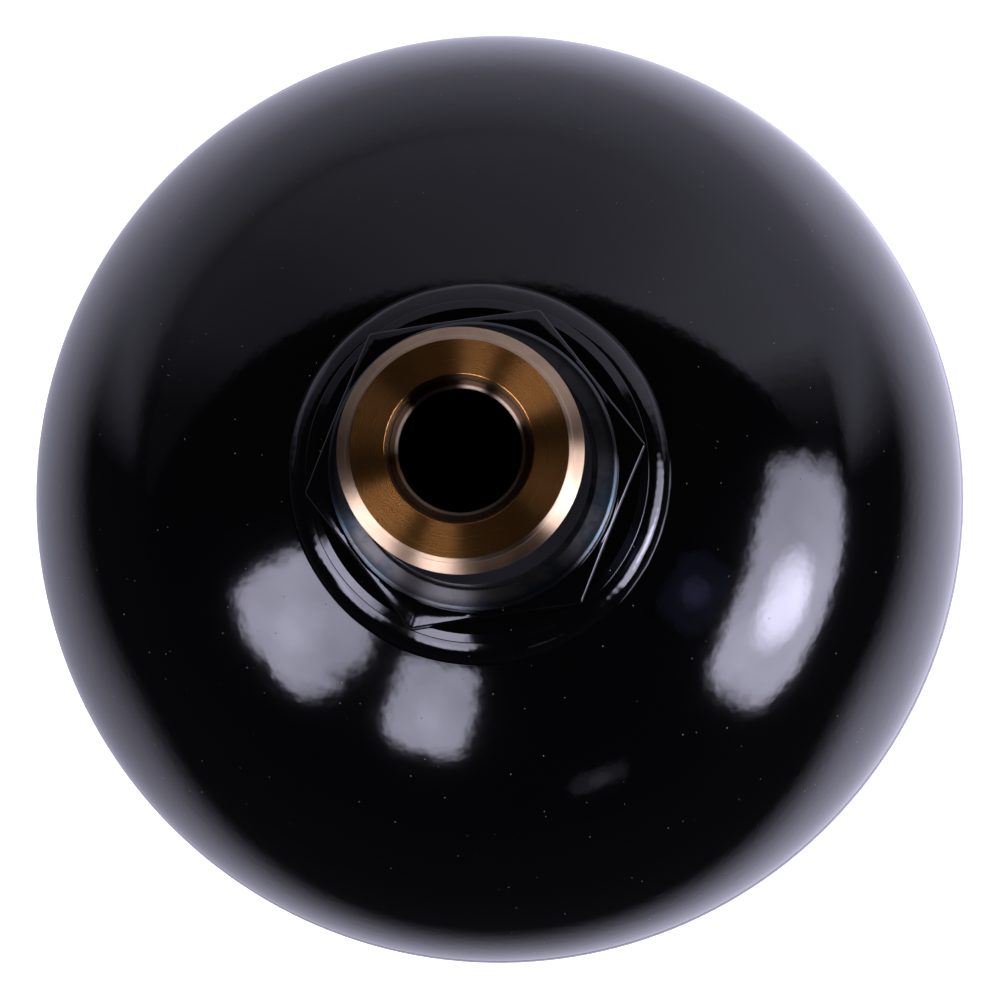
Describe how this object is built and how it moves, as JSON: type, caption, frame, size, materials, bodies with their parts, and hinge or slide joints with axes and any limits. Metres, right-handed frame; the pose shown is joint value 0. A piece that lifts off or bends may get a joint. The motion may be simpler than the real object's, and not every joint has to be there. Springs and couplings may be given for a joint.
{
  "type": "diaphragm accumulator",
  "caption": "Spherical welded diaphragm accumulator with a hexagon port body, male and female port threads, and a capped gas boss.",
  "frame": {"origin": "centre of the protective cap's flat end, which the accumulator stands on", "axes": "+Z along the port axis, out of the fluid port; X and Y across the axis, with a hexagon corner 8 degrees off +X"},
  "size_m": [0.1368, 0.1368, 0.204],
  "materials": {
    "vessel_paint": "high-gloss black enamel with slight orange peel",
    "port_steel": "turned steel with a gold-bronze tint on the stub, blue-grey on the shoulder, black paint on the hexagon",
    "boss_steel": "turned and plated steel",
    "ring_steel": "formed steel",
    "diaphragm_rubber": "moulded nitrile rubber",
    "seal_rubber": "nitrile rubber",
    "cap_plastic": "moulded black plastic"
  },
  "bodies": {
    "vessel": {"port_half_shell": "vessel_paint", "gas_half_shell": "vessel_paint", "equator_weld": "vessel_paint", "port_body": "port_steel", "port_weld": "vessel_paint", "gas_boss": "boss_steel", "gas_boss_weld": "vessel_paint", "clamp_ring": "ring_steel", "diaphragm": "diaphragm_rubber"},
    "button": {"closing_button": "ring_steel"},
    "seal": {"charging_seal": "seal_rubber"},
    "screw": {"charging_screw": "boss_steel"},
    "cap": {"protective_cap": "cap_plastic"}
  },
  "joints": [
    {"name": "diaphragm_stroke", "type": "slide", "parent": "vessel", "child": "button", "axis": [0, 0, -1], "range_m": [0, 0.095], "stiffness_N_per_m": 20, "springref_m": -0.1, "deforming": ["diaphragm"]},
    {"name": "charging_screw_lift", "type": "slide", "parent": "vessel", "child": "seal", "axis": [0, 0, -1], "range_m": [0, 0.0015]},
    {"name": "charging_screw_turn", "type": "hinge", "parent": "seal", "child": "screw", "pos_m": [0, 0, 0.0085], "axis": [0, 0, -1], "range_deg": [0, 360]},
    {"name": "cap_turn", "type": "hinge", "parent": "vessel", "child": "cap", "pos_m": [0, 0, 0.0165], "axis": [0, 0, -1], "range_deg": [0, 1800]}
  ],
  "couplings": [
    {"joint": "charging_screw_lift", "follows": "charging_screw_turn", "m_per_rad": 0.00023873}
  ]
}
